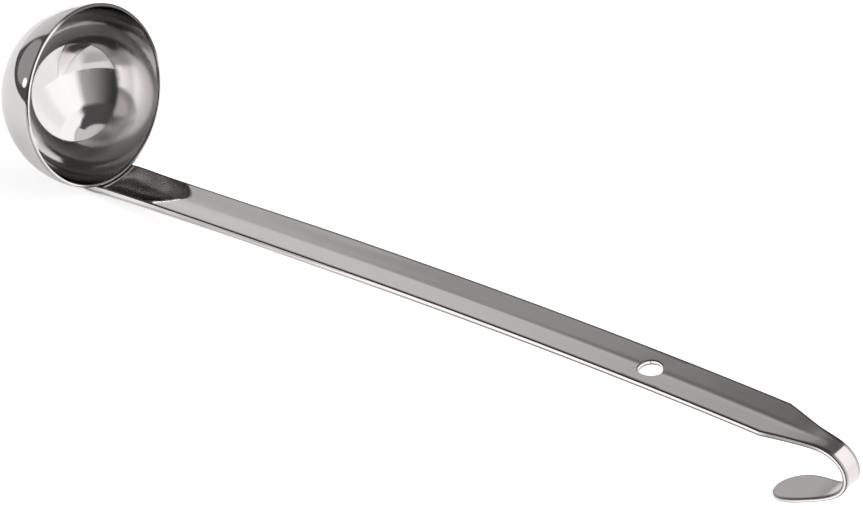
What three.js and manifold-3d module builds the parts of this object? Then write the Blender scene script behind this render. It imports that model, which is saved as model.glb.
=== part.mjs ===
// Soup ladle: a small measuring ladle in polished stainless steel.
// A drawn half-round bowl is spot-welded to the tab of a stamped strip handle that ends in a hanging hook.
// Millimetres, +Z up. The ladle lies on its back on Z = 0, with the bowl towards -X and the hook towards +X.

import * as THREE from 'three';
import { mergeVertices } from 'three/addons/utils/BufferGeometryUtils.js';
import Module from 'manifold-3d';

const DEGREE = Math.PI / 180;

// Bowl
const BOWL_OUTER_RADIUS = 25.4;
const BOWL_WALL = 1.0;
const BOWL_ARC_STEPS = 16;
const BOWL_RIM_STEPS = 4;
const BOWL_TURN_STEPS = 56;

// Handle strip, lengths run along it from the plane of the bowl's rim
const HANDLE_WIDTH = 13.7;
const HANDLE_LENGTH = 218;
const THICKNESS_AT_BOWL = 2.05;
const THICKNESS_AT_TAPER = 1.5;
const THICKNESS_AT_TIP = 1.2;
const EDGE_ROUNDING = 0.3;
const LEAN_AT_BOWL = 6.6 * DEGREE;
const LEAN_AT_HOOK = 11.8 * DEGREE;
const BOW_POWER = 1.75;
const SET_BACK_LENGTH = 2.4;

// Gutter: a round hollow that takes the bowl's rim, turning into a folded crease towards the hook
const CREASE_DEPTH = 0.75;
const CREASE_BLEND_LENGTH = 150;
const CREASE_FADE_START = 3;
const CREASE_FADE_LENGTH = 15;

// Tab that follows the outside of the bowl below its rim
const JOINT_GAP = 0.3;
const TAB_LENGTH = 15;
const TAB_END_DEPTH = 5;

// Flat that the backing electrode presses into the tab's back under the welds; the ladle lies on it
const PRESSED_FLAT_WIDTH = 9;

// Hanging hole
const HOLE_DIAMETER = 6.3;
const HOLE_FROM_TAPER = 37.2;

// Hook: the strip tapers to a neck, rolls over and widens into a rounded tongue
const TAPER_LENGTH = 12.8;
const NECK_WIDTH = 6.1;
const NECK_BLEND = 0.6;
const BEND_FROM_TAPER = 11.5;
const BEND_LENGTH = 28;
const BEND_END_LEAN = 171.5 * DEGREE;
const TONGUE_LENGTH = 14.3;
const TONGUE_WIDTH = 11.6;
const TONGUE_TIP_DEPTH = 7;
const TONGUE_WIDEN_LENGTH = 16;

// Spot welds: fused slugs in the tab, one below and two side by side under the rim
const WELD_DIAMETER = 3.6;
const WELD_DEPTH = 1.1;
const WELD_CLEARANCE = 0.3;
const WELD_STEPS = 16;
const WELD_PLACES = [
  { name: 'spot_weld_left', fromRim: 4.6, across: 3.3 },
  { name: 'spot_weld_right', fromRim: 4.6, across: -3.3 },
  { name: 'spot_weld_lower', fromRim: 10, across: 0 },
];

// Facet counts along and across the strip
const TAB_STEPS = 4;
const ROUND_END_STEPS = 6;
const SET_BACK_STEPS = 2;
const HANDLE_STEPS = 20;
const TAPER_STEPS = 5;
const BEND_STEPS = 18;
const TONGUE_STEPS = 3;
const ACROSS_STEPS = 8;
const HOLE_STEPS = 24;
const PATH_STEPS = 400;
const ROUND_END_LIMIT = 78 * DEGREE;

// Places worked out from the driving dimensions
const seatRadius = BOWL_OUTER_RADIUS + JOINT_GAP;
const bendStart = HANDLE_LENGTH + BEND_FROM_TAPER;
const bendEnd = bendStart + BEND_LENGTH;
const tipEnd = bendEnd + TONGUE_LENGTH;
const tongueShoulder = tipEnd - TONGUE_TIP_DEPTH;
const tabShoulder = TAB_END_DEPTH - TAB_LENGTH;
const tabBackRadius = seatRadius + THICKNESS_AT_BOWL;
const flatDistance = Math.sqrt(tabBackRadius ** 2 - (PRESSED_FLAT_WIDTH / 2) ** 2);

const wasm = await Module();
wasm.setup();

function smooth(from, to, value) {
  return THREE.MathUtils.smoothstep(value, from, to);
}

function mix(from, to, share) {
  return THREE.MathUtils.lerp(from, to, THREE.MathUtils.clamp(share, 0, 1));
}

// Lean of the strip away from the bowl's axis: tab, set-back past the rim, bowed handle, hook and tongue
function leanAt(s) {
  if (s < 0) return -s / seatRadius;
  if (s < SET_BACK_LENGTH) return LEAN_AT_BOWL * smooth(0, SET_BACK_LENGTH, s);
  const bow = Math.min((s - SET_BACK_LENGTH) / (bendStart - SET_BACK_LENGTH), 1) ** BOW_POWER;
  const roll = smooth(bendStart, bendEnd, s);
  const handleLean = LEAN_AT_BOWL + (LEAN_AT_HOOK - LEAN_AT_BOWL) * bow;
  return handleLean + (BEND_END_LEAN - LEAN_AT_HOOK) * roll;
}

// Point of the strip's face on its centre line, with the bowl's centre at the origin and its opening along +X
function centreLine(s) {
  const lean = leanAt(s);
  if (s < 0) {
    const angle = s / seatRadius;
    return { x: seatRadius * Math.sin(angle), z: -seatRadius * Math.cos(angle), lean };
  }
  const step = s / PATH_STEPS;
  let x = 0;
  let z = -seatRadius;
  for (let i = 0; i < PATH_STEPS; i++) {
    const middle = leanAt((i + 0.5) * step);
    x += Math.cos(middle) * step;
    z -= Math.sin(middle) * step;
  }
  return { x, z, lean };
}

// Half the width of the strip's face
function halfWidthAt(s) {
  const full = HANDLE_WIDTH / 2;
  const neck = NECK_WIDTH / 2;
  const tongue = TONGUE_WIDTH / 2;
  if (s < tabShoulder) return full * Math.sqrt(1 - ((tabShoulder - s) / TAB_END_DEPTH) ** 2);
  if (s <= HANDLE_LENGTH) return full;
  if (s > tongueShoulder) return tongue * Math.sqrt(1 - ((s - tongueShoulder) / TONGUE_TIP_DEPTH) ** 2);
  const straight = full - (full - neck) * (s - HANDLE_LENGTH) / TAPER_LENGTH;
  const taper = neck + NECK_BLEND * Math.log1p(Math.exp((straight - neck) / NECK_BLEND));
  const widen = (tongue - neck) * smooth(tongueShoulder - TONGUE_WIDEN_LENGTH, tongueShoulder, s);
  return Math.min(taper, full) + widen;
}

function thicknessAt(s) {
  if (s < HANDLE_LENGTH) return mix(THICKNESS_AT_BOWL, THICKNESS_AT_TAPER, s / HANDLE_LENGTH);
  return mix(THICKNESS_AT_TAPER, THICKNESS_AT_TIP, (s - HANDLE_LENGTH) / (bendEnd - HANDLE_LENGTH));
}

// Rise of the strip's face above its centre line at a distance across it, and the slope there
function gutterAt(s, across) {
  const arcSlope = across / Math.sqrt(seatRadius ** 2 - across ** 2);
  const arcRise = seatRadius - Math.sqrt(seatRadius ** 2 - across ** 2);
  const creaseSlope = CREASE_DEPTH / (HANDLE_WIDTH / 2);
  const crease = smooth(0, CREASE_BLEND_LENGTH, s);
  const fadeStart = HANDLE_LENGTH + CREASE_FADE_START;
  const fade = 1 - smooth(fadeStart, fadeStart + CREASE_FADE_LENGTH, s);
  return {
    rise: fade * mix(arcRise, creaseSlope * Math.abs(across), crease),
    slope: fade * mix(arcSlope, creaseSlope * Math.sign(across), crease),
  };
}

// Closed section of the strip: face from right to left edge, rounded edge, back, rounded edge
function sectionAt(s) {
  const half = halfWidthAt(s);
  const thickness = thicknessAt(s);
  const rounding = Math.min(EDGE_ROUNDING, thickness / 3, half / 3);
  const face = [];
  const back = [];
  for (let i = 0; i <= ACROSS_STEPS; i++) {
    const across = (half - rounding) * (2 * i / ACROSS_STEPS - 1);
    const { rise, slope } = gutterAt(s, across);
    const stretch = Math.hypot(1, slope);
    face.push([across, rise]);
    back.unshift([across + thickness * slope / stretch, rise - thickness / stretch]);
  }
  const edge = (side) => {
    const { rise, slope } = gutterAt(s, side * half);
    const stretch = Math.hypot(1, slope);
    const below = (depth) => [side * half + depth * slope / stretch, rise - depth / stretch];
    return [below(rounding), below(thickness - rounding)];
  };
  return [...face, ...edge(1), ...back, ...edge(-1).reverse()];
}

// Lengths at which the strip gets a section: close together where it bends or its outline turns
function stripStations() {
  const run = (from, to, steps) => Array.from({ length: steps }, (_, i) => mix(from, to, i / steps));
  const roundEnd = (shoulder, depth) =>
    Array.from({ length: ROUND_END_STEPS + 1 }, (_, i) =>
      shoulder + depth * Math.sin(ROUND_END_LIMIT * i / ROUND_END_STEPS));
  return [
    ...roundEnd(tabShoulder, -TAB_END_DEPTH).reverse().slice(0, -1),
    ...run(tabShoulder, 0, TAB_STEPS),
    ...run(0, SET_BACK_LENGTH, SET_BACK_STEPS),
    ...run(SET_BACK_LENGTH, HANDLE_LENGTH, HANDLE_STEPS),
    ...run(HANDLE_LENGTH, bendStart, TAPER_STEPS),
    ...run(bendStart, bendEnd, BEND_STEPS),
    ...run(bendEnd, tongueShoulder, TONGUE_STEPS),
    ...roundEnd(tongueShoulder, TONGUE_TIP_DEPTH),
  ];
}

// Triangles that close one end of a loft, facing along the strip or back along it
function capFaces(section, forward) {
  const outline = section.map(([across, rise]) => new THREE.Vector2(across, rise));
  return THREE.ShapeUtils.triangulateShape(outline, []).map(([a, b, c]) => {
    const turnsLeft = THREE.ShapeUtils.area([outline[a], outline[b], outline[c]]) > 0;
    return turnsLeft === forward ? [a, b, c] : [a, c, b];
  });
}

// Loft of the strip's sections along its centre line
function stripGeometry() {
  const stations = stripStations();
  const sections = stations.map(sectionAt);
  const count = sections[0].length;
  const positions = [];
  stations.forEach((s, i) => {
    const { x, z, lean } = centreLine(s);
    for (const [across, rise] of sections[i]) {
      positions.push(x + rise * Math.sin(lean), across, z + rise * Math.cos(lean));
    }
  });
  const index = [];
  for (let i = 0; i + 1 < stations.length; i++) {
    for (let j = 0; j < count; j++) {
      const a = i * count + j;
      const b = i * count + (j + 1) % count;
      index.push(a, a + count, b, b, a + count, b + count);
    }
  }
  const last = (stations.length - 1) * count;
  index.push(...capFaces(sections[0], false).flat());
  index.push(...capFaces(sections.at(-1), true).flat().map((k) => k + last));
  const geometry = new THREE.BufferGeometry();
  geometry.setAttribute('position', new THREE.Float32BufferAttribute(positions, 3));
  geometry.setIndex(index);
  return geometry;
}

function toSolid(geometry) {
  const bare = geometry.clone();
  bare.deleteAttribute('normal');
  bare.deleteAttribute('uv');
  const merged = mergeVertices(bare, 1e-4);
  return new wasm.Manifold(new wasm.Mesh({
    numProp: 3,
    vertProperties: new Float32Array(merged.attributes.position.array),
    triVerts: new Uint32Array(merged.index.array),
  }));
}

function toGeometry(solid) {
  const mesh = solid.getMesh();
  const geometry = new THREE.BufferGeometry();
  geometry.setAttribute('position', new THREE.BufferAttribute(mesh.vertProperties, 3));
  geometry.setIndex(new THREE.BufferAttribute(mesh.triVerts, 1));
  geometry.computeVertexNormals();
  return geometry;
}

// Cylinder that crosses the strip at the hanging hole, square to its face
function holeCutter() {
  const { x, z, lean } = centreLine(HANDLE_LENGTH - HOLE_FROM_TAPER);
  const height = 4 * THICKNESS_AT_BOWL;
  const cutter = new THREE.CylinderGeometry(HOLE_DIAMETER / 2, HOLE_DIAMETER / 2, height, HOLE_STEPS);
  cutter.rotateX(Math.PI / 2);
  cutter.rotateY(lean);
  cutter.translate(x, 0, z);
  return cutter;
}

// Turns a piece modelled along +Y so that +Y points out of the bowl at a weld's place
function turnToWeld(geometry, place) {
  const along = -place.fromRim / seatRadius;
  const across = place.across / seatRadius;
  const outward = new THREE.Vector3(
    Math.sin(along) * Math.cos(across),
    Math.sin(across),
    -Math.cos(along) * Math.cos(across),
  );
  geometry.applyQuaternion(new THREE.Quaternion().setFromUnitVectors(new THREE.Vector3(0, 1, 0), outward));
  return geometry;
}

// Pocket in the tab's face that holds a weld's slug
function weldPocket(place) {
  const radius = WELD_DIAMETER / 2 + WELD_CLEARANCE;
  const height = 2 * WELD_DEPTH;
  const pocket = new THREE.CylinderGeometry(radius, radius, height, WELD_STEPS);
  pocket.translate(0, seatRadius + WELD_DEPTH - height / 2, 0);
  return turnToWeld(pocket, place);
}

// Slug of fused metal, flush with the tab's face and domed towards its back
function weldSlug(place) {
  const radius = WELD_DIAMETER / 2;
  const top = seatRadius + WELD_DEPTH - WELD_CLEARANCE;
  const waist = mix(seatRadius, top, 0.5);
  const profile = [
    new THREE.Vector2(0, seatRadius),
    new THREE.Vector2(radius, seatRadius),
    new THREE.Vector2(radius, waist),
    new THREE.Vector2(radius / 2, top),
    new THREE.Vector2(0, top),
  ];
  return turnToWeld(new THREE.LatheGeometry(profile, WELD_STEPS), place);
}

// Half-round shell with a rolled rim, turned about +Y and laid with its opening along +X
function bowlGeometry() {
  const inner = BOWL_OUTER_RADIUS - BOWL_WALL;
  const rim = BOWL_WALL / 2;
  const arc = (cx, radius, from, to, steps) =>
    Array.from({ length: steps + 1 }, (_, i) => {
      const angle = mix(from, to, i / steps);
      return new THREE.Vector2(cx + radius * Math.cos(angle), radius * Math.sin(angle));
    });
  const outside = arc(0, BOWL_OUTER_RADIUS, -Math.PI / 2, 0, BOWL_ARC_STEPS);
  const edge = arc(inner + rim, rim, 0, Math.PI, BOWL_RIM_STEPS);
  const inside = arc(0, inner, 0, -Math.PI / 2, BOWL_ARC_STEPS);
  outside[0].x = 0;
  inside.at(-1).x = 0;
  const profile = [...outside, ...edge.slice(1, -1), ...inside];
  const geometry = new THREE.LatheGeometry(profile, BOWL_TURN_STEPS);
  geometry.rotateZ(-Math.PI / 2);
  return geometry;
}

// Block below the tab's back, level with the surface that the ladle lies on at this tilt
function flatCutter(tilt) {
  const side = 2 * PRESSED_FLAT_WIDTH;
  const height = 2 * THICKNESS_AT_BOWL;
  const cutter = new THREE.BoxGeometry(side, side, height);
  cutter.translate(0, 0, -flatDistance - height / 2);
  cutter.rotateY(tilt);
  return cutter;
}

function handleGeometry(strip, tilt) {
  let solid = toSolid(strip);
  solid = solid.subtract(toSolid(holeCutter()));
  solid = solid.subtract(toSolid(flatCutter(tilt)));
  for (const place of WELD_PLACES) {
    solid = solid.subtract(toSolid(weldPocket(place)));
  }
  return toGeometry(solid);
}

function steel(name, color, roughness) {
  return new THREE.MeshStandardMaterial({ name, color, roughness, metalness: 1 });
}

function piece(name, geometry, material) {
  const mesh = new THREE.Mesh(geometry, material);
  mesh.name = name;
  return mesh;
}

// Tilt at which the flat on the tab's back and the hook's tongue stand equally low
function restTilt(strip) {
  const { position } = strip.attributes;
  const hookHeight = (tilt) => {
    let low = Infinity;
    for (let i = 0; i < position.count; i++) {
      const x = position.getX(i);
      if (x > HANDLE_LENGTH / 2) low = Math.min(low, x * Math.sin(tilt) + position.getZ(i) * Math.cos(tilt));
    }
    return low;
  };
  let level = 0;
  let steep = 45 * DEGREE;
  for (let i = 0; i < 40; i++) {
    const tilt = (level + steep) / 2;
    if (hookHeight(tilt) < -flatDistance) level = tilt;
    else steep = tilt;
  }
  return (level + steep) / 2;
}

const strip = stripGeometry();
const tilt = restTilt(strip);
const bowl = piece('bowl', bowlGeometry(), steel('bowl_steel', 0xd2d3d4, 0.08));
const handle = piece('handle', handleGeometry(strip, tilt), steel('handle_steel', 0xb9b7b4, 0.22));
const welds = WELD_PLACES.map((place) =>
  piece(place.name, weldSlug(place), steel(`${place.name}_steel`, 0x8f8d8a, 0.5)));

const laid = new THREE.Group();
laid.add(bowl, handle, ...welds);
laid.rotation.y = -tilt;

// Origin under the middle of the ladle's box, on the surface it lies on
const box = new THREE.Box3().setFromObject(laid, true);
const centre = box.getCenter(new THREE.Vector3());
laid.position.set(-centre.x, -centre.y, -box.min.z);

const ladle = new THREE.Group();
ladle.name = 'soup_ladle';
ladle.add(laid);

export default ladle;
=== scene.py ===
import math

import bmesh
import bpy
import numpy as np
from mathutils import Matrix, Vector


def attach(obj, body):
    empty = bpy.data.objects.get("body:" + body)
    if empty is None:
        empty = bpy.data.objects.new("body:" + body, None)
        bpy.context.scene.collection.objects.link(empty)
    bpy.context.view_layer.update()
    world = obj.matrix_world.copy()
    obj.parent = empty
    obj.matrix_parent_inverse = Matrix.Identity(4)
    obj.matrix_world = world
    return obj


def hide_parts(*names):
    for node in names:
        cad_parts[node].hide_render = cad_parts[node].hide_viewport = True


# Small measuring ladle in polished steel, lying on its back on a pale table.
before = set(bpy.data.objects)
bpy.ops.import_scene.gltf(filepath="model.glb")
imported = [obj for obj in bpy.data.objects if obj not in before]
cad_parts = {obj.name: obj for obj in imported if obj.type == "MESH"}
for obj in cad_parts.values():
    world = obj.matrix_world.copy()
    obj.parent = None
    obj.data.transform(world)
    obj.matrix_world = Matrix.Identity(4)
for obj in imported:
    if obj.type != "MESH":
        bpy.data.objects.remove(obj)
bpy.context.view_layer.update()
print("ladle: frame loaded with", len(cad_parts), "solids")

mm = 0.001
degree = math.pi / 180


# A socket of a node tree: operators on it add Math nodes, and add() makes any other node.
class Wire:
    def __init__(self, tree, socket=None):
        self.tree = tree
        self.socket = socket

    def add(self, nodeType, settings=None, inputs=None, output=0):
        node = self.tree.nodes.new(nodeType)
        for name, value in (settings or {}).items():
            if name == "stops":
                self.setStops(node.color_ramp, value)
            else:
                setattr(node, name, value)
        for key, value in (inputs or {}).items():
            if isinstance(value, Wire):
                self.tree.links.new(value.socket, node.inputs[key])
            else:
                node.inputs[key].default_value = value
        return Wire(self.tree, node.outputs[output] if len(node.outputs) else None)

    def setStops(self, ramp, stops):
        while len(ramp.elements) < len(stops):
            ramp.elements.new(1.0)
        for element, (place, tone) in zip(ramp.elements, stops):
            element.position = place
            element.color = (tone, tone, tone, 1.0)

    def calc(self, operation, first, second=0.0):
        return self.add("ShaderNodeMath", {"operation": operation}, {0: first, 1: second})

    def __add__(self, other):
        return self.calc("ADD", self, other)

    def __sub__(self, other):
        return self.calc("SUBTRACT", self, other)

    def __rsub__(self, other):
        return self.calc("SUBTRACT", other, self)

    def __mul__(self, other):
        return self.calc("MULTIPLY", self, other)

    def __truediv__(self, other):
        return self.calc("DIVIDE", self, other)

    def __rtruediv__(self, other):
        return self.calc("DIVIDE", other, self)

    def __pow__(self, other):
        return self.calc("POWER", self, other)

    def __rpow__(self, other):
        return self.calc("POWER", other, self)

    __radd__ = __add__
    __rmul__ = __mul__

    # 0 below low, 1 above high, smooth between
    def rise(self, low, high):
        settings = {"interpolation_type": "SMOOTHSTEP"}
        return self.add("ShaderNodeMapRange", settings, {"Value": self, "From Min": low, "From Max": high})

    def blend(self, first, second):
        return self.add("ShaderNodeMix", {"data_type": "RGBA"}, {0: self, 6: first, 7: second}, 2)

    def ramp(self, stops):
        return self.add("ShaderNodeValToRGB", {"stops": stops}, {0: self}, "Color")

    def asGrey(self):
        return self.add("ShaderNodeCombineColor", None, {0: self, 1: self, 2: self})


def newTree(owner):
    owner.use_nodes = True
    owner.node_tree.nodes.clear()
    return Wire(owner.node_tree)


def partsOf(wire, vector, names):
    return [wire.add("ShaderNodeSeparateXYZ", None, {0: vector}, name) for name in names]


def lightPath(wire, name):
    return wire.add("ShaderNodeLightPath", output=name)


# A mark painted on the points of a piece.
def markOf(wire, name):
    return wire.add("ShaderNodeAttribute", {"attribute_name": name}, output="Fac")


noiseMiddle = 0.5  # the level that noise swings about


def noise(wire, place, scale, detail, roughness=0.5, distortion=0.0):
    return wire.add("ShaderNodeTexNoise", None, {
        "Vector": place,
        "Scale": scale,
        "Detail": detail,
        "Roughness": roughness,
        "Distortion": distortion,
    })


# Bare metal all over a piece, with its fine relief as bump.
def coverWithSteel(wire, tone, roughness, relief, finish):
    bump = wire.add("ShaderNodeBump", None, {
        "Height": relief, "Strength": finish["bumpStrength"], "Distance": finish["bumpDistance"] * mm})
    shader = wire.add("ShaderNodeBsdfPrincipled", None, {
        "Base Color": tone, "Metallic": 1.0, "Roughness": roughness, "Normal": bump})
    wire.add("ShaderNodeOutputMaterial", None, {"Surface": shader})


# A warm grey gains in red and loses a third of that in blue.
def grey(level, warmth=0.0):
    return (level * (1 + warmth), level, level * (1 - warmth / 3), 1.0)


# 0 below low, 1 above high, smooth between
def ease(low, high, value):
    t = np.clip((value - low) / (high - low), 0.0, 1.0)
    return t * t * (3 - 2 * t)


def newObject(name, data):
    made = bpy.data.objects.new(name, data)
    bpy.context.scene.collection.objects.link(made)
    return made


def makePiece(name, points, faces, material, marks):
    mesh = bpy.data.meshes.new(name)
    mesh.from_pydata(points.tolist(), [], faces)
    bm = bmesh.new()
    bm.from_mesh(mesh)
    bmesh.ops.recalc_face_normals(bm, faces=bm.faces)
    bm.to_mesh(mesh)
    bm.free()
    mesh.shade_smooth()
    for mark, values in marks.items():
        layer = mesh.attributes.new(mark, "FLOAT", "POINT")
        layer.data.foreach_set("value", np.asarray(values, np.float32))
    mesh.materials.append(material)
    return newObject(name, mesh)


# Bowl: half-round shell about its own centre with its opening along +X, in mm.
bowlShell = {
    "outerRadius": 25.4,
    "wall": 1.0,
    "polishLoss": 0.015,
    "darkBandFrom": 51.0 * degree,  # up from the bottom, where the painted dark reflection on the inside starts
    "darkBandFull": 63.0 * degree,
    "innerCorner": (1.7, 2.5),  # painted shade at the corners of the rim, in radians over its bead from the outside
    "outerCorner": (0.3, 0.9),
    "outerCornerShade": 0.6,
    "unshadedBearings": ((-142.0, -20.0), (98.0, 152.0)),  # bearings of the rim from the top where its painted shade is left out
    "unshadedFade": 14.0,
    "wearHighlightReach": 0.5,  # below the rim
    "arcSteps": 60,
    "rimSteps": 14,
    "turnSteps": 168,
}


# Centre and tilt of the bowl, read from the corners of its solid that lie on the outer sphere.
def findSeat():
    corners = np.array([v.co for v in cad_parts["bowl"].data.vertices], float) / mm
    corners = np.unique(np.round(corners, 3), axis=0)
    centre = corners.min(axis=0) + bowlShell["outerRadius"]
    for nearness in (0.1, 0.02):  # mm, a loose fit and then a close one
        outside = corners[np.linalg.norm(corners - centre, axis=1) > bowlShell["outerRadius"] - nearness]
        system = np.column_stack([2 * outside, np.ones(len(outside))])
        centre = np.linalg.lstsq(system, (outside ** 2).sum(axis=1), rcond=None)[0][:3]
    axis = -(outside - centre).mean(axis=0)
    return centre, math.atan2(axis[2], axis[0])


seatCentre, seatTilt = findSeat()
print("ladle: bowl centre", np.round(seatCentre, 3), "tilt", round(seatTilt / degree, 3))


# From the bowl's own frame in mm to the shared frame in metres.
def laid(points):
    c, s = math.cos(seatTilt), math.sin(seatTilt)
    x = points[:, 0] * c - points[:, 2] * s
    z = points[:, 0] * s + points[:, 2] * c
    return (np.column_stack([x, points[:, 1], z]) + seatCentre) * mm


# Bowl steel: mirror polish with faint turning rings, slow waves, hairline scratches, a rubbed rim that is
# partly a painted highlight, painted shade on the rim and a painted dark reflection inside below it.
bowlFinish = {
    "tone": 0.64,
    # tone of the painted dark reflection on the inside below the rim
    "darkBandTone": 0.41,
    # rubbed rim tone, brighter partly as a painted highlight
    "wornHighlightTone": 0.76,
    # tone of the painted shade lines on the rim
    "shadeLineTone": 0.12,
    "warmth": 0.03,
    "wornHighlightShare": 0.8,
    "ringsPerMetre": 2600.0,
    "waveScale": 55.0,
    "smearScale": 130.0,
    "smearsWearHighlight": (0.35, 0.6),  # noise levels between which the smears come up
    "smearsDull": (0.45, 0.8),
    "scratchScale": 260.0,
    "scratchRuns": ((0.5, 3.1), (-0.9, 8.7)),  # turn of each run and where its noise starts
    "scratchTurn": (1.0, 0.4, 1.3),
    "scratchStretch": (0.12, 6.0, 6.0),
    "scratchShows": (0.68, 0.74),
    "roughness": 0.05,
    "roughnessBy": {"rings": 0.02, "smears": 0.03, "scratches": 0.12, "worn": 0.08, "drawn": 0.05},
    "relief": {"rings": 0.06, "drawnRings": 0.12, "waves": 6.0, "scratches": 0.12},
    "bumpStrength": 0.5,
    "bumpDistance": 0.02,
}


# Hairline scratches that run in crossing directions.
def makeScratches(wire, place):
    f = bowlFinish
    marks = 0.0
    for turn, start in f["scratchRuns"]:
        stretched = wire.add("ShaderNodeMapping", None, {
            "Vector": place,
            "Rotation": tuple(turn * k for k in f["scratchTurn"]),
            "Location": (start, start, start),
            "Scale": tuple(f["scratchScale"] * k for k in f["scratchStretch"]),
        })
        marks = noise(wire, stretched, scale=1.0, detail=2.0).rise(*f["scratchShows"]) + marks
    return marks


def makeBowlSteel():
    f = bowlFinish
    material = bpy.data.materials.new("bowlSteel")
    wire = newTree(material)
    turned = wire.add("ShaderNodeMapping", {"vector_type": "TEXTURE"}, {
        "Vector": wire.add("ShaderNodeTexCoord", output="Object"),
        "Location": tuple(seatCentre * mm),
        "Rotation": (0.0, math.pi / 2 - seatTilt, 0.0),  # Z then runs along the bowl's axis
    })
    across = wire.add("ShaderNodeVectorMath", {"operation": "MULTIPLY"}, {0: turned, 1: (1.0, 1.0, 0.0)})
    fromAxis = wire.add("ShaderNodeVectorMath", {"operation": "LENGTH"}, {0: across}, "Value")
    rings = wire.add("ShaderNodeTexNoise", {"noise_dimensions": "1D"}, {
        "W": fromAxis * f["ringsPerMetre"], "Detail": 3.0, "Roughness": 0.7})
    waves = noise(wire, turned, f["waveScale"], detail=1.0, roughness=0.4)
    smears = noise(wire, turned, f["smearScale"], detail=5.0, roughness=0.65, distortion=0.6)
    scratches = makeScratches(wire, turned)
    rim, drawn, line = (markOf(wire, name) for name in ("edgeWear", "drawnWall", "edgeLine"))
    # rubbed rim, brighter partly as a painted highlight
    worn = rim * smears.rise(*f["smearsWearHighlight"]) * f["wornHighlightShare"]
    tone = grey(f["tone"], f["warmth"])
    # painted dark reflection inside below the rim, painted shade lines on the rim, and a rubbed rim
    # brightened partly as a painted highlight
    for share, name in ((drawn, "darkBandTone"), (worn, "wornHighlightTone"), (line, "shadeLineTone")):
        tone = share.blend(tone, grey(f[name], f["warmth"]))
    r, d = f["roughnessBy"], f["relief"]
    roughness = (rings - noiseMiddle) * r["rings"] + smears.rise(*f["smearsDull"]) * r["smears"]
    roughness = roughness + scratches * r["scratches"] + worn * r["worn"] + drawn * r["drawn"]
    relief = rings * (drawn * d["drawnRings"] + d["rings"]) + waves * d["waves"]
    relief = relief - scratches * d["scratches"]
    coverWithSteel(wire, tone, roughness + f["roughness"], relief, f)
    return material


def makeBowl():
    size = bowlShell
    outer = size["outerRadius"] - size["polishLoss"]
    inner = size["outerRadius"] - size["wall"]
    middle, half = (outer + inner) / 2, (outer - inner) / 2
    sweep = np.linspace(0.0, math.pi / 2, size["arcSteps"] + 1)
    overRim = np.linspace(0.0, math.pi, size["rimSteps"] + 1)[1:-1]
    outside = np.column_stack([-outer * np.cos(sweep), outer * np.sin(sweep)])
    rim = np.column_stack([half * np.sin(overRim), middle + half * np.cos(overRim)])
    inside = np.column_stack([-inner * np.cos(sweep), inner * np.sin(sweep)])[::-1]
    profile = np.vstack([outside[1:], rim, inside[:-1]])

    # the profile turned about the axis, closed by a fan at either pole
    count = size["turnSteps"]
    around = np.arange(count) * 2 * math.pi / count
    turn = np.tile(around, len(profile))
    along, radius = np.repeat(profile, count, axis=0).T
    poles = [[-outer, 0.0, 0.0], [-inner, 0.0, 0.0]]
    points = np.vstack([poles, np.column_stack([along, radius * np.sin(turn), radius * np.cos(turn)])])
    first = len(poles)
    last = first + (len(profile) - 1) * count
    faces = []
    for k in range(count):
        after = (k + 1) % count
        faces.append((0, first + k, first + after))
        faces.append((1, last + after, last + k))
        for row in range(first, last, count):
            faces.append((row + k, row + count + k, row + count + after, row + after))

    # the inside has a painted dark reflection below the rim; the rim has painted shade at its corners and
    # all round it, except at the bearings where that shade is left out
    atRim = slice(len(sweep) - 1, len(sweep) - 1 + len(rim))
    drawnWall = np.zeros(len(profile))
    drawnWall[atRim.stop:] = ease(size["darkBandFrom"], size["darkBandFull"], sweep)[:0:-1]
    corners = np.zeros(len(profile))
    corners[atRim] = ease(*size["innerCorner"], overRim)
    corners[atRim] += size["outerCornerShade"] * (1 - ease(*size["outerCorner"], overRim))
    corners[atRim.start - 1] = size["outerCornerShade"]
    corners[atRim.stop] = 1.0
    bearing = (np.degrees(around) + 180) % 360 - 180
    unshaded = np.zeros(count)
    fade = size["unshadedFade"]
    for start, end in size["unshadedBearings"]:
        unshaded += ease(start - fade, start, bearing) * (1 - ease(end, end + fade, bearing))
    onRim = np.zeros(len(profile))
    onRim[atRim] = 1.0
    # painted shade on the rim: at its corners, and over all of it except at the bearings left out
    edgeLine = np.maximum(corners[:, None], np.outer(onRim, 1 - unshaded))
    marks = {
        # rubbed rim, partly a painted highlight, fading below it
        "edgeWear": np.exp(-np.maximum(-points[:, 0], 0.0) / size["wearHighlightReach"]),
        "drawnWall": np.concatenate([[0.0, 0.0], np.repeat(drawnWall, count)]),
        "edgeLine": np.concatenate([[0.0, 0.0], edgeLine.ravel()]),
    }
    piece = makePiece("bowlShell", laid(points), faces, makeBowlSteel(), marks)
    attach(piece, "root")
    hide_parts("bowl")
    print("ladle: bowl shell with", len(faces), "faces")


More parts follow.
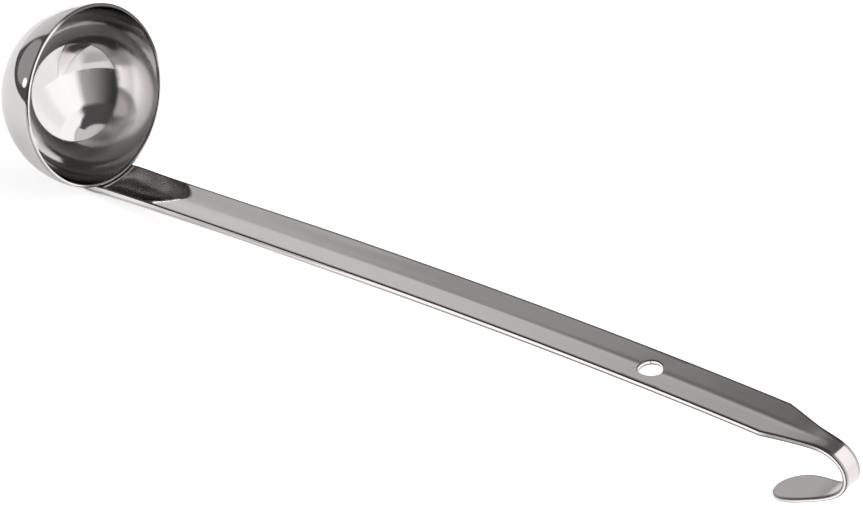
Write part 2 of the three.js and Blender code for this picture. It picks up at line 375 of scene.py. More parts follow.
# Handle: one strip of sheet steel. Lengths run along it from the plane of the bowl's rim, in mm.
handleStrip = {
    "width": 13.7,
    "length": 218.0,
    "thickAtBowl": 2.05,
    "thickAtTaper": 1.5,
    "thickAtTip": 1.2,
    "edgeRounding": 0.32,
    "jointGap": 0.3,
    "jointFill": 0.2,
    "fillFade": 3.0,
    "polishLoss": 0.01,
    "leanAtBowl": 6.6 * degree,
    "leanAtHook": 11.8 * degree,
    "bowPower": 1.75,
    "setBack": 2.4,
    "creaseDepth": 0.75,
    "creaseBlend": 150.0,
    "creaseRadius": 0.35,
    "creaseFadeFrom": 3.0,
    "creaseFadeLength": 15.0,
    "grooveDepth": 0.056,
    "grooveWidth": 0.8,
    "buffed": {  # face worn down by the polishing wheel, next to the bowl only
        "depth": 0.40, "from": 1.0, "power": 2.6,  # towards the far edge
        "nearDepth": 0.04, "nearFrom": 5.6,  # at the near edge
        "lift": 0.15,  # by which the middle stays higher
        "start": (1.0, 16.0), "end": (35.0, 80.0),
    },
    "tabLength": 15.0,
    "tabEndDepth": 5.0,
    "flatWidth": 9.0,
    "holeDiameter": 6.3,
    "holeFromTaper": 37.2,
    "taperLength": 12.8,
    "neckWidth": 6.1,
    "neckBlend": 0.6,
    "bendFromTaper": 11.5,
    "bendLength": 28.0,
    "leanAtTongue": 171.5 * degree,
    "tongueLength": 14.3,
    "tongueWidth": 11.6,
    "tongueTipDepth": 7.0,
    "tongueWiden": 16.0,
}

weldSpots = {
    "places": ((4.6, 3.3), (4.6, -3.3), (10.0, 0.0)),  # below the rim, across the tab
    "diameter": 3.6,
    "height": 0.5,
    "unevenness": 0.08,
    "seed": 7,
    "dentDepth": 0.12,
    "dentFloor": 1.155,
    "dentRadius": 2.1,
    "heatRadius": 2.6,
}

seatRadius = bowlShell["outerRadius"] + handleStrip["jointGap"]
bendStart = handleStrip["length"] + handleStrip["bendFromTaper"]
bendEnd = bendStart + handleStrip["bendLength"]
tipEnd = bendEnd + handleStrip["tongueLength"]
tongueShoulder = tipEnd - handleStrip["tongueTipDepth"]
tabShoulder = handleStrip["tabEndDepth"] - handleStrip["tabLength"]
holeAt = handleStrip["length"] - handleStrip["holeFromTaper"]


def leanAt(s):
    h = handleStrip
    bow = np.clip((s - h["setBack"]) / (bendStart - h["setBack"]), 0.0, 1.0) ** h["bowPower"]
    lean = h["leanAtBowl"] + (h["leanAtHook"] - h["leanAtBowl"]) * bow
    lean = np.where(s < h["setBack"], h["leanAtBowl"] * ease(0.0, h["setBack"], s), lean)
    lean = lean + (h["leanAtTongue"] - h["leanAtHook"]) * ease(bendStart, bendEnd, s)
    return np.where(s < 0, -s / seatRadius, lean)


# The strip's centre line beyond the rim, summed up in small steps.
pathStep = 0.05
pathSpare = 1.0  # past the tip
pathAt = np.arange(0.0, tipEnd + pathSpare, pathStep)
pathLean = leanAt(pathAt[:-1] + pathStep / 2)
pathX = np.concatenate([[0.0], np.cumsum(np.cos(pathLean) * pathStep)])
pathZ = np.concatenate([[0.0], np.cumsum(-np.sin(pathLean) * pathStep)]) - seatRadius


def centreLine(s):
    turn = np.minimum(s, 0.0) / seatRadius
    x = np.where(s < 0, seatRadius * np.sin(turn), np.interp(s, pathAt, pathX))
    z = np.where(s < 0, -seatRadius * np.cos(turn), np.interp(s, pathAt, pathZ))
    return x, z, leanAt(s)


# Half the width between the rounded ends.
def halfWidthAt(s):
    h = handleStrip
    full, neck, tongue = h["width"] / 2, h["neckWidth"] / 2, h["tongueWidth"] / 2
    straight = full - (full - neck) * (s - h["length"]) / h["taperLength"]
    taper = neck + h["neckBlend"] * np.logaddexp(0.0, (straight - neck) / h["neckBlend"])
    widen = (tongue - neck) * ease(tongueShoulder - h["tongueWiden"], tongueShoulder, s)
    return np.where(s <= h["length"], full, np.minimum(taper, full) + widen)


def thicknessAt(s):
    h = handleStrip
    handlePart = np.clip(s / h["length"], 0.0, 1.0)
    hookPart = np.clip((s - h["length"]) / (bendEnd - h["length"]), 0.0, 1.0)
    thick = h["thickAtBowl"] + (h["thickAtTaper"] - h["thickAtBowl"]) * handlePart
    return thick + (h["thickAtTip"] - h["thickAtTaper"]) * hookPart


# How far the polishing wheel has worn the face down towards its edges, and the slope of that.
def buffedAt(s, y):
    b = handleStrip["buffed"]
    along = ease(*b["start"], s) * (1 - ease(*b["end"], s))
    half = handleStrip["width"] / 2
    span, nearSpan = half - b["from"], half - b["nearFrom"]
    over = np.maximum(y - b["from"], 0.0) / span
    under = np.maximum(-y - b["nearFrom"], 0.0) / nearSpan
    worn = b["depth"] * over ** b["power"] + b["nearDepth"] * under ** 2 - b["lift"]
    slope = b["depth"] * b["power"] * over ** (b["power"] - 1) / span
    slope = slope - 2 * b["nearDepth"] * under / nearSpan
    return along * worn, along * slope


# Rise and slope of the face across the strip: round gutter at the bowl, folded crease towards the hook.
def gutterAt(s, y):
    h = handleStrip
    depth = np.sqrt(seatRadius ** 2 - y ** 2)
    foldSlope = h["creaseDepth"] / (h["width"] / 2)
    reach = np.hypot(y, h["creaseRadius"])
    fold = ease(0.0, h["creaseBlend"], s)
    fadeFrom = h["length"] + h["creaseFadeFrom"]
    fade = 1 - ease(fadeFrom, fadeFrom + h["creaseFadeLength"], s)
    groove = h["grooveDepth"] * np.exp(-(y / h["grooveWidth"]) ** 2)  # line that the folding blade leaves
    rise = (1 - fold) * (seatRadius - depth) + fold * (foldSlope * (reach - h["creaseRadius"]) - groove)
    slope = (1 - fold) * y / depth + fold * (foldSlope / reach + 2 * groove / h["grooveWidth"] ** 2) * y
    worn, wornSlope = buffedAt(s, y)
    return fade * rise - worn, fade * slope - wornSlope


# Point of the strip at a length, a place across and a depth below the face.
def stripPoints(s, y, depth):
    rise, slope = gutterAt(s, y)
    stretch = np.hypot(1.0, slope)
    x, z, lean = centreLine(s)
    up = rise - depth / stretch
    return np.column_stack([x + up * np.sin(lean), y + depth * slope / stretch, z + up * np.cos(lean)])


# Depth of the face: a hair of polish is gone, and at the joint the metal is pressed up against the bowl.
def faceDepth(s):
    h = handleStrip
    return h["polishLoss"] - h["jointFill"] * (1 - ease(0.0, h["fillFade"], s))


def fromWelds(s, y):
    return [np.hypot(s + below, y - across) for below, across in weldSpots["places"]]


# Shallow dents that the welding electrode leaves on the tab's back.
def dentAt(s, y):
    dents = [1 - ease(weldSpots["dentFloor"], weldSpots["dentRadius"], far) for far in fromWelds(s, y)]
    return weldSpots["dentDepth"] * sum(dents)


def heatAt(s, y):
    return np.max([np.exp(-(far / weldSpots["heatRadius"]) ** 2) for far in fromWelds(s, y)], axis=0)


# Brings what stands proud of the pressed flat on the tab's back level with it.
def pressFlat(points):
    backRadius = seatRadius + handleStrip["thickAtBowl"]
    level = math.sqrt(backRadius ** 2 - (handleStrip["flatWidth"] / 2) ** 2)
    down = np.array([-math.sin(seatTilt), 0.0, -math.cos(seatTilt)])
    proud = np.maximum(points @ down - level, 0.0)
    nearTab = points[:, 0] < handleStrip["length"] / 2
    return points - np.outer(proud * nearTab, down)


handleGrid = {
    "tabStep": 0.45,
    "setBackStep": 0.3,
    "handleStep": 1.5,
    "taperStep": 0.5,
    "bendStep": 0.45,
    "tongueStep": 0.7,
    "halfColumns": 14,
    "columnPower": 1.35,
    "supportColumn": 0.985,
    "holeMargin": 6.0,
    "holeRings": (0.25, 0.46, 0.63, 0.77, 0.88, 0.95, 1.0),
    "fanSteps": 40,
    "edgeSteps": 5,
}


def stripRows():
    g, h = handleGrid, handleStrip
    stops = (tabShoulder, 0.0, h["setBack"], h["length"], bendStart, bendEnd, tongueShoulder)
    steps = (g["tabStep"], g["setBackStep"], g["handleStep"],
             g["taperStep"], g["bendStep"], g["tongueStep"])
    rows = [np.linspace(a, b, max(2, round((b - a) / step)), endpoint=False)
            for a, b, step in zip(stops[:-1], stops[1:], steps)]
    return np.concatenate(rows + [[tongueShoulder]])


def stripColumns():
    g = handleGrid
    shares = np.linspace(0.0, 1.0, g["halfColumns"] + 1) ** g["columnPower"]
    shares = np.sort(np.append(shares, g["supportColumn"]))
    return np.concatenate([-shares[:0:-1], shares])


# The strip's face laid out flat: points (along, across), faces, its outline and the ring round the hole.
def layOutFace():
    rows, cols = stripRows(), stripColumns()
    last, mid = len(cols) - 1, len(cols) // 2
    rounding = handleStrip["edgeRounding"]
    inset = halfWidthAt(rows) - rounding
    low = int(np.searchsorted(rows, holeAt - handleGrid["holeMargin"]))
    high = int(np.searchsorted(rows, holeAt + handleGrid["holeMargin"]))
    plan, faces = [], []

    def put(s, y):
        plan.append((s, y))
        return len(plan) - 1

    grid = [[put(s, half * c) if j in (0, last) or not low < i < high else None for j, c in enumerate(cols)]
            for i, (s, half) in enumerate(zip(rows, inset))]
    for i in range(len(rows) - 1):
        if low <= i < high:
            continue
        for j in range(last):
            faces.append((grid[i][j], grid[i + 1][j], grid[i + 1][j + 1], grid[i][j + 1]))

    # rings that lead from a square patch to the round hole
    border = grid[low] + [grid[i][last] for i in range(low + 1, high)]
    border += grid[high][::-1] + [grid[i][0] for i in range(high - 1, low, -1)]
    holeRadius = handleStrip["holeDiameter"] / 2 + rounding
    square = np.array([plan[k] for k in border])
    bearing = np.arctan2(square[:, 1], square[:, 0] - holeAt)
    circle = np.column_stack([holeAt + holeRadius * np.cos(bearing), holeRadius * np.sin(bearing)])
    ring = border
    for share in handleGrid["holeRings"]:
        inner = [put(*p) for p in square * (1 - share) + circle * share]
        for k in range(len(ring)):
            n = (k + 1) % len(ring)
            faces.append((ring[k], ring[n], inner[n], inner[k]))
        ring = inner

    # nested half-ellipses close a rounded end
    def fan(row, shoulder, depth, half):
        swing = np.linspace(-math.pi / 2, math.pi / 2, handleGrid["fanSteps"] + 1)[1:-1]
        inside = None
        for level in range(1, mid + 1):
            share = cols[mid + level]
            arc = [put(shoulder + depth * share * math.cos(a), half * share * math.sin(a)) for a in swing]
            arc = [row[mid - level]] + arc + [row[mid + level]]
            for k in range(len(arc) - 1):
                if inside is None:
                    faces.append((row[mid], arc[k], arc[k + 1]))
                else:
                    faces.append((inside[k], arc[k], arc[k + 1], inside[k + 1]))
            inside = arc
        return inside

    tabArc = fan(grid[0], tabShoulder, rounding - handleStrip["tabEndDepth"], inset[0])
    tipArc = fan(grid[-1], tongueShoulder, handleStrip["tongueTipDepth"] - rounding, inset[-1])
    outline = tabArc + [row[last] for row in grid[1:-1]] + tipArc[::-1] + [row[0] for row in grid[-2:0:-1]]
    return np.array(plan), faces, outline, ring


# Unit normals of a closed loop in the flat, pointing left of its run.
def loopNormals(loop):
    run = np.roll(loop, -1, axis=0) - np.roll(loop, 1, axis=0)
    run /= np.linalg.norm(run, axis=1)[:, None]
    return np.column_stack([-run[:, 1], run[:, 0]])


# Where the strip is rubbed and partly given a painted highlight, lined and darkened with painted shade,
# dull or tinted by heat. Lengths in mm, the rest as shares.
handleMarks = {
    # rubbed edges, brighter partly as a painted highlight
    "wearHighlightReach": 0.5,  # from the edges, on the face and the back
    "faceWearHighlight": 0.5,
    "edgeWear": 0.6,  # on the rounded edge, full on the wall
    "edgeHeat": 0.5,  # by the face, full by the back
    # painted shade lines along the face's edges
    "shadeLineWidth": 0.4,
    "bendShadeExtra": 0.2,  # the painted shade line is wider and fuller round the bend
    "bendShadeFill": 0.5,
    "bendFade": 3.0,
    "tongueFade": 6.0,
    # painted shade on the back, inside the hook and on the tongue
    "backShade": 0.25,
    "hookShade": 0.6,
    "hookShadeRun": 10.0,
    "tongueShade": 0.45,
    "tornFrom": 0.6,  # of the wall, down from the face
    "tornBlend": 0.05,
    "tornDullShade": 0.45,  # by the bowl, full along the run below; duller torn fracture, darkened further with painted shade
    "tornRun": (40.0, 170.0),
    # painted shade on the taper's cut wall
    "taperShade": 0.75,
    "taperShadeStart": (-1.0, 2.0),
    "taperShadeEnd": 6.0,
}


# Marks on the strip's face and on its back.
def markFaces(s, y):
    m = handleMarks
    fromEdge = np.maximum(halfWidthAt(s) - handleStrip["edgeRounding"] - np.abs(y), 0.0)
    wearHighlight = m["faceWearHighlight"] * np.exp(-fromEdge / m["wearHighlightReach"])
    onBend = ease(bendStart - m["bendFade"], bendStart + m["bendFade"], s)
    onBend = onBend - ease(bendEnd - m["tongueFade"], bendEnd, s)
    # painted shade line along the edges, wider round the bend
    shadeLineWidth = m["shadeLineWidth"] + m["bendShadeExtra"] * onBend
    line = np.clip(1 + m["bendShadeFill"] * onBend - fromEdge / shadeLineWidth, 0.0, 1.0)
    insideHook = ease(bendStart, bendEnd, s)  # the painted shade line changes sides there
    onTongue = ease(bendEnd - m["bendFade"], bendEnd + m["bendFade"], s)
    # painted shade inside the hook and on the tongue, and over the whole back
    dull = m["hookShade"] + (m["tongueShade"] - m["hookShade"]) * onTongue
    dull = dull * ease(bendStart, bendStart + m["hookShadeRun"], s)
    none = np.zeros(len(s))
    face = {"edgeWear": wearHighlight, "weldHeat": none, "edgeLine": line * (1 - insideHook), "dullSteel": none}
    back = {"edgeWear": wearHighlight, "weldHeat": heatAt(s, y), "edgeLine": line * insideHook,
            "dullSteel": np.maximum(dull, m["backShade"])}
    return [face, back]


# Marks on one line round the edge, by its way out over the rounding and its share of the thickness.
def markEdge(s, y, out, share):
    m = handleMarks
    onWall = math.isclose(out, 1.0)
    # lower wall: duller torn fracture with painted shade; taper wall: painted shade
    if share > m["tornFrom"]:
        dull = m["tornDullShade"] + (1 - m["tornDullShade"]) * ease(*m["tornRun"], s)
    else:
        onTaper = ease(*m["taperShadeStart"], s - handleStrip["length"])
        onTaper = onTaper * (1 - ease(bendStart, bendStart + m["taperShadeEnd"], s))
        dull = m["taperShade"] * onTaper * onWall
    return {
        "edgeWear": np.full(len(s), m["edgeWear"] + (1 - m["edgeWear"]) * out),
        "weldHeat": heatAt(s, y) * (m["edgeHeat"] + (1 - m["edgeHeat"]) * share),
        # painted shade line on the edge ring next to the face, off the wall
        "edgeLine": np.full(len(s), float(share == 0 and not onWall)),
        "dullSteel": dull,
    }


def makeHandle():
    plan, flatFaces, outline, holeRing = layOutFace()
    rounding = handleStrip["edgeRounding"]
    count = len(plan)
    s, y = plan.T
    blocks = [stripPoints(s, y, faceDepth(s)), pressFlat(stripPoints(s, y, thicknessAt(s) - dentAt(s, y)))]
    maps = [plan, plan]
    marks = markFaces(s, y)
    faces = list(flatFaces) + [tuple(k + count for k in reversed(face)) for face in flatFaces]

    # rounded edge from the face over the wall to the back; the wall's lower part is torn, not cut
    bend = np.linspace(0.0, math.pi / 2, handleGrid["edgeSteps"] + 1)[1:]
    torn, tornBlend = handleMarks["tornFrom"], handleMarks["tornBlend"]
    steps = [(math.sin(a), 0.0, 1 - math.cos(a)) for a in bend]
    steps += [(1.0, torn - tornBlend, 0.0), (1.0, torn + tornBlend, 0.0)]
    steps += [(math.sin(a), 1.0, math.cos(a) - 1) for a in bend[::-1]]
    start = 2 * count
    for loop, away in ((outline, 1.0), (holeRing, -1.0)):
        base = plan[loop]
        normal = loopNormals(base) * away
        rings = [np.array(loop)]
        for out, share, sink in steps:
            spot = base + normal * rounding * out
            s, y = spot.T
            depth = np.maximum(thicknessAt(s) * share + rounding * sink, faceDepth(s))
            blocks.append(pressFlat(stripPoints(s, y, depth)))
            maps.append(spot)
            marks.append(markEdge(s, y, out, share))
            rings.append(np.arange(start, start + len(spot)))
            start += len(spot)
        rings.append(np.array(loop) + count)
        for upper, lower in zip(rings[:-1], rings[1:]):
            for k in range(len(loop)):
                n = (k + 1) % len(loop)
                faces.append((int(upper[k]), int(lower[k]), int(lower[n]), int(upper[n])))

    marks = {name: np.concatenate([part[name] for part in marks]) for name in marks[0]}
    piece = makePiece("handleStrip", laid(np.vstack(blocks)), faces, makeHandleSteel(), marks)
    layer = piece.data.uv_layers.new(name="stripMap")
    corner = np.zeros(len(piece.data.loops), np.int32)
    piece.data.loops.foreach_get("vertex_index", corner)
    layer.data.foreach_set("uv", (np.vstack(maps)[corner] * mm).astype(np.float32).ravel())
    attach(piece, "root")
    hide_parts("handle")
    print("ladle: handle strip with", len(faces), "faces")


# Handle steel: bright polish with fine grain along the strip, rubbed edges that are partly a painted
# highlight, painted shade along the edges, on the back, in the hook and on the cut walls, and heat colours
# at the welds.
handleFinish = {
    "tone": 0.64,
    # tone of the rubbed edges, brighter partly as a painted highlight
    "wornHighlightTone": 0.9,
    "grainTone": 0.5,
    # tone of the painted shade on the back, in the hook and on the cut walls
    "dullShadeTone": 0.2,
    # tone of the painted shade lines along the edges
    "shadeLineTone": 0.11,
    "warmth": 0.05,
    "strawTone": (0.42, 0.30, 0.17, 1.0),
    "blueTone": (0.13, 0.14, 0.22, 1.0),
    "strawHeat": (0.15, 0.5),
    "blueHeat": (0.55, 0.95),
    "strawShare": 0.75,
    "blueShare": 0.8,
    "wornHighlightLeast": 0.45,
    "wornHighlightSmears": 0.4,
    "grainShare": 0.12,
    "grainScale": (14.0, 2400.0, 1.0),  # along and across the strip
    "grainShows": (0.35, 0.75),
    "hairScale": (30.0, 1500.0, 1.0),
    "hairTurn": (0.0, 0.0, 0.05),
    "hairStart": (0.3, 0.7, 0.0),
    "hairShows": (0.66, 0.72),
    "waveScale": 70.0,
    "smearScale": 110.0,
    "smearsWearHighlight": (0.3, 0.6),
    "smearsDull": (0.45, 0.8),
    "roughness": 0.06,
    "roughnessBy": {"grain": 0.05, "smears": 0.03, "hairs": 0.08, "worn": 0.06, "heat": 0.15, "dull": 0.2,
                    "line": 0.15},
    "relief": {"grain": 0.10, "waves": 6.0, "hairs": 0.10},
    "bumpStrength": 0.5,
    "bumpDistance": 0.02,
}


def makeHandleSteel():
    f = handleFinish
    material = bpy.data.materials.new("handleSteel")
    wire = newTree(material)
    strip = wire.add("ShaderNodeUVMap", {"uv_map": "stripMap"})
    place = wire.add("ShaderNodeTexCoord", output="Object")
    combed = wire.add("ShaderNodeMapping", None, {"Vector": strip, "Scale": f["grainScale"]})
    grain = noise(wire, combed, scale=1.0, detail=4.0, roughness=0.65)
    skewed = wire.add("ShaderNodeMapping", None, {
        "Vector": strip, "Rotation": f["hairTurn"], "Location": f["hairStart"], "Scale": f["hairScale"]})
    hairs = noise(wire, skewed, scale=1.0, detail=2.0).rise(*f["hairShows"])
    waves = noise(wire, place, f["waveScale"], detail=1.0, roughness=0.4)
    smears = noise(wire, place, f["smearScale"], detail=5.0, roughness=0.62, distortion=0.5)
    markNames = ("edgeWear", "weldHeat", "edgeLine", "dullSteel")
    edge, heat, line, dull = (markOf(wire, name) for name in markNames)
    # rubbed edges, brighter partly as a painted highlight
    worn = edge * (smears.rise(*f["smearsWearHighlight"]) * f["wornHighlightSmears"] + f["wornHighlightLeast"])
    combing = grain.rise(*f["grainShows"]) * f["grainShare"]
    tone = grey(f["tone"], f["warmth"])
    for share, name in ((worn, "wornHighlightTone"), (combing, "grainTone"), (dull, "dullShadeTone"), (line, "shadeLineTone")):
        tone = share.blend(tone, grey(f[name], f["warmth"]))
    tone = (heat.rise(*f["strawHeat"]) * f["strawShare"]).blend(tone, f["strawTone"])
    tone = (heat.rise(*f["blueHeat"]) * f["blueShare"]).blend(tone, f["blueTone"])
    r, d = f["roughnessBy"], f["relief"]
    roughness = (grain - noiseMiddle) * r["grain"] + smears.rise(*f["smearsDull"]) * r["smears"]
    roughness = roughness + hairs * r["hairs"] + worn * r["worn"]
    roughness = roughness + heat * r["heat"] + dull * r["dull"] + line * r["line"]
    relief = grain * d["grain"] + waves * d["waves"] - hairs * d["hairs"]
    coverWithSteel(wire, tone, roughness + f["roughness"], relief, f)
    return material


# Weld metal: dull fused steel with oxide blotches.
weldFinish = {
    "tone": (0.30, 0.28, 0.26, 1.0),
    "oxide": (0.10, 0.085, 0.09, 1.0),
    "blotchScale": 900.0,
    "oxideShows": (0.4, 0.65),
    "rippleScale": 2600.0,
    "roughness": 0.42,
    "blotchDull": (0.3, 0.7),
    "blotchRoughness": 0.2,
    "bumpStrength": 0.6,
    "bumpDistance": 0.05,
}


def makeWeldSteel():
    f = weldFinish
    material = bpy.data.materials.new("weldSteel")
    wire = newTree(material)
    place = wire.add("ShaderNodeTexCoord", output="Object")
    blotch = noise(wire, place, f["blotchScale"], detail=5.0, roughness=0.7)
    ripple = noise(wire, place, f["rippleScale"], detail=3.0)
    tone = blotch.rise(*f["oxideShows"]).blend(f["tone"], f["oxide"])
    roughness = blotch.rise(*f["blotchDull"]) * f["blotchRoughness"] + f["roughness"]
    coverWithSteel(wire, tone, roughness, ripple, f)
    return material


# Node tree that sets one flattened nugget on every point, turned to the point's own normal.
def makeNuggetTree(material):
    tree = bpy.data.node_groups.new("weldNuggetTree", "GeometryNodeTree")
    sockets = {
        "Geometry": "NodeSocketGeometry",
        "Diameter": "NodeSocketFloat",
        "Height": "NodeSocketFloat",
        "Unevenness": "NodeSocketFloat",
        "Seed": "NodeSocketInt",
    }
    for name, kind in sockets.items():
        tree.interface.new_socket(name, in_out="INPUT", socket_type=kind)
    tree.interface.new_socket("Geometry", in_out="OUTPUT", socket_type="NodeSocketGeometry")
    wire = Wire(tree)
    given = {name: wire.add("NodeGroupInput", output=name) for name in sockets}
    ball = wire.add("GeometryNodeMeshUVSphere", None, {"Segments": 28, "Rings": 14, "Radius": 0.5})
    smoothBall = wire.add("GeometryNodeSetShadeSmooth", None, {"Geometry": ball})
    shape = wire.add("ShaderNodeCombineXYZ", None, {
        "X": given["Diameter"], "Y": given["Diameter"], "Z": given["Height"]})
    nugget = wire.add("GeometryNodeTransform", None, {"Geometry": smoothBall, "Scale": shape})
    normal = wire.add("GeometryNodeInputNamedAttribute", {"data_type": "FLOAT_VECTOR"}, {"Name": "outward"})
    facing = wire.add("FunctionNodeAlignRotationToVector", {"axis": "Z"}, {"Vector": normal})
    swell = wire.add("FunctionNodeRandomValue", {"data_type": "FLOAT"}, {
        2: 1 - given["Unevenness"], 3: 1 + given["Unevenness"], "Seed": given["Seed"]}, 1)
    placed = wire.add("GeometryNodeInstanceOnPoints", None, {
        "Points": given["Geometry"], "Instance": nugget, "Rotation": facing, "Scale": swell})
    solid = wire.add("GeometryNodeRealizeInstances", None, {"Geometry": placed})
    painted = wire.add("GeometryNodeSetMaterial", None, {"Geometry": solid, "Material": material})
    wire.add("NodeGroupOutput", None, {"Geometry": painted})
    return tree


# Nuggets in the gap between the bowl and the tab.
def makeWelds():
    turn, swing = (np.array(weldSpots["places"]) * (-1.0, 1.0) / seatRadius).T
    outward = np.column_stack([np.sin(turn) * np.cos(swing), np.sin(swing), -np.cos(turn) * np.cos(swing)])
    middles = laid(outward * (bowlShell["outerRadius"] + handleStrip["jointGap"] / 2))
    directions = middles - seatCentre * mm
    directions /= np.linalg.norm(directions, axis=1)[:, None]
    mesh = bpy.data.meshes.new("weldPoints")
    mesh.from_pydata(middles.tolist(), [], [])
    mesh.attributes.new("outward", "FLOAT_VECTOR", "POINT").data.foreach_set("vector", directions.ravel())
    points = newObject("weldPoints", mesh)
    tree = makeNuggetTree(makeWeldSteel())
    modifier = points.modifiers.new("nuggets", "NODES")
    modifier.node_group = tree
    sockets = {item.name: item.identifier for item in tree.interface.items_tree if item.in_out == "INPUT"}
    modifier[sockets["Diameter"]] = weldSpots["diameter"] * mm
    modifier[sockets["Height"]] = weldSpots["height"] * mm
    modifier[sockets["Unevenness"]] = weldSpots["unevenness"]
    modifier[sockets["Seed"]] = weldSpots["seed"]
    bpy.context.view_layer.update()
    made = points.evaluated_get(bpy.context.evaluated_depsgraph_get())
    plain = bpy.data.meshes.new_from_object(made)
    plain.name = "weldNuggets"
    points.modifiers.remove(modifier)
    bpy.data.objects.remove(points)
    piece = newObject("weldNuggets", plain)
    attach(piece, "root")
    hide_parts("spot_weld_left", "spot_weld_right", "spot_weld_lower")
    print("ladle: weld nuggets with", len(plain.polygons), "faces")


# Camera at the photograph's place, in mm.
viewpoint = {
    "azimuth": 39.275 * degree,
    "elevation": 35.765 * degree,
    "roll": -1.542 * degree,
    "distance": 943.58,
    "target": (5.235, 1.735, 23.263),
    "focalLength": 153.118,
    "sensorWidth": 36.0,
}


def makeCamera():
    v = viewpoint
    flat = math.cos(v["elevation"])
    back = Vector((math.sin(v["azimuth"]) * flat, -math.cos(v["azimuth"]) * flat, math.sin(v["elevation"])))
    level = Vector((math.cos(v["azimuth"]), math.sin(v["azimuth"]), 0.0))
    right = level * math.cos(v["roll"]) + back.cross(level) * math.sin(v["roll"])
    up = back.cross(right)
    data = bpy.data.cameras.new("photoCamera")
    data.sensor_fit = "HORIZONTAL"
    data.sensor_width = v["sensorWidth"]
    data.lens = v["focalLength"]
    camera = newObject("photoCamera", data)
    place = (Vector(v["target"]) + back * v["distance"]) * mm
    turn = Matrix((right, up, back)).transposed().to_4x4()
    camera.matrix_world = Matrix.Translation(place) @ turn
    bpy.context.scene.camera = camera


# Pale table top in mm, set square to the camera. Its own glow is for camera and mirror rays only, so the
# shadow stays. Mirrors see a pool of light from the side wall on it and a shade beside the bowl.
# Mirrors of mirrors see a bright patch too.
tableTop = {
    "front": 290.0,
    "left": -640.0,
    "reach": 4500.0,
    "drop": 0.05,
    "colour": 0.8,
    "glow": 0.7,
    "mirrorGlow": 0.42,
    "poolGlow": 0.6,
    "poolFrom": (-110.0, 0.0),
    "poolBearing": 20.0 * degree,
    "poolSoft": 8.0,
    "patchAt": (-72.0, 44.0),
    "patchReach": (25.0, 80.0),
    "patchGlow": 0.9,
    "shadeAt": (-64.0, -37.0),
    "shadeReach": (20.0, 50.0),
    "nearness": 7.0,  # within which the ladle darkens the table
    "secondMirror": (1.2, 1.8),  # ray depth between the first mirror and the second
}


def makeTable():
    t = tableTop
    sine, cosine = math.sin(viewpoint["azimuth"]), math.cos(viewpoint["azimuth"])
    front, left, reach = t["front"], t["left"], t["reach"]
    sides = [(front, left), (front, reach), (-reach, reach), (-reach, left)]
    corners = [(f * sine + w * cosine, w * sine - f * cosine, -t["drop"]) for f, w in sides]
    mesh = bpy.data.meshes.new("tableTop")
    mesh.from_pydata((np.array(corners) * mm).tolist(), [], [(0, 1, 2, 3)])
    material = bpy.data.materials.new("tablePaper")
    wire = newTree(material)
    x, y = partsOf(wire, wire.add("ShaderNodeTexCoord", output="Object"), "XY")

    def disc(at, fade):
        apart = wire.calc("SQRT", (x - at[0] * mm) ** 2.0 + (y - at[1] * mm) ** 2.0)
        return 1.0 - apart.rise(fade[0] * mm, fade[1] * mm)

    # what mirrors see
    turn = viewpoint["azimuth"] - math.pi / 2 + t["poolBearing"]
    beside = (y - t["poolFrom"][1] * mm) * math.cos(turn) - (x - t["poolFrom"][0] * mm) * math.sin(turn)
    lit = beside.rise(-t["poolSoft"] * mm, t["poolSoft"] * mm)
    dark = (1.0 - lit) * (1.0 - disc(t["shadeAt"], t["shadeReach"])) * t["mirrorGlow"]
    twice = lightPath(wire, "Ray Depth").rise(*t["secondMirror"])
    pool = lit * t["poolGlow"] + dark + disc(t["patchAt"], t["patchReach"]) * t["patchGlow"] * twice
    bare = wire.add("ShaderNodeAmbientOcclusion", {"samples": 8}, {"Distance": t["nearness"] * mm}, "AO")

    mirrored = lightPath(wire, "Is Glossy Ray") + lightPath(wire, "Is Transmission Ray")
    level = lightPath(wire, "Is Camera Ray") * t["glow"] + mirrored * pool * bare
    glow = wire.add("ShaderNodeEmission", None, {"Color": level.asGrey(), "Strength": 1.0})
    paper = wire.add("ShaderNodeBsdfDiffuse", None, {"Color": grey(t["colour"])})
    both = wire.add("ShaderNodeAddShader", None, {0: paper, 1: glow})
    below = wire.add("ShaderNodeNewGeometry", output="Backfacing")
    clear = wire.add("ShaderNodeBsdfTransparent")
    sheet = wire.add("ShaderNodeMixShader", None, {0: below, 1: both, 2: clear})  # seen through from below
    wire.add("ShaderNodeOutputMaterial", None, {"Surface": sheet})
    mesh.materials.append(material)
    table = newObject("tableTop", mesh)


